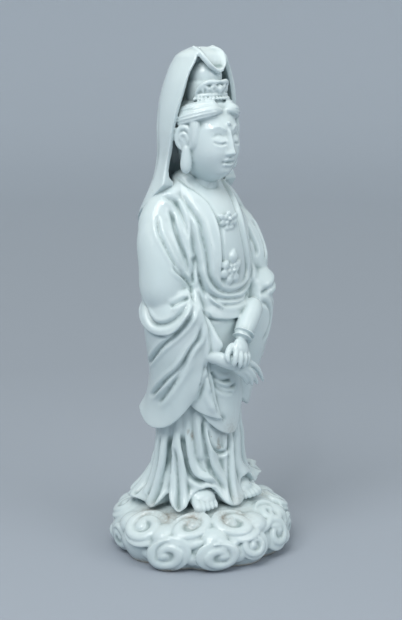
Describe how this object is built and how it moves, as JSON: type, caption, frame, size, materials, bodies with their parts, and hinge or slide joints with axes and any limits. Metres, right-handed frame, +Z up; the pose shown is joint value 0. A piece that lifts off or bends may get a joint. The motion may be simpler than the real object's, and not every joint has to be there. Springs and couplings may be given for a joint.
{
  "type": "guanyin figure",
  "caption": "Standing hooded and robed porcelain figure with crossed hands and bare feet, on a round bank of scrolled clouds, one glazed casting.",
  "frame": {"origin": "on the table, under the middle of the box round the cloud bank", "axes": "+Z up; the figure faces -Y, and its own left hand is towards +X"},
  "size_m": [0.1556, 0.151, 0.4003],
  "materials": {
    "glazed_porcelain": "glossy clear glaze with a faint bluish tint over white porcelain, brown kiln marks in the hem and foot"
  },
  "bodies": {
    "root": {"guanyin_figure_on_clouds": "glazed_porcelain"}
  },
  "joints": []
}
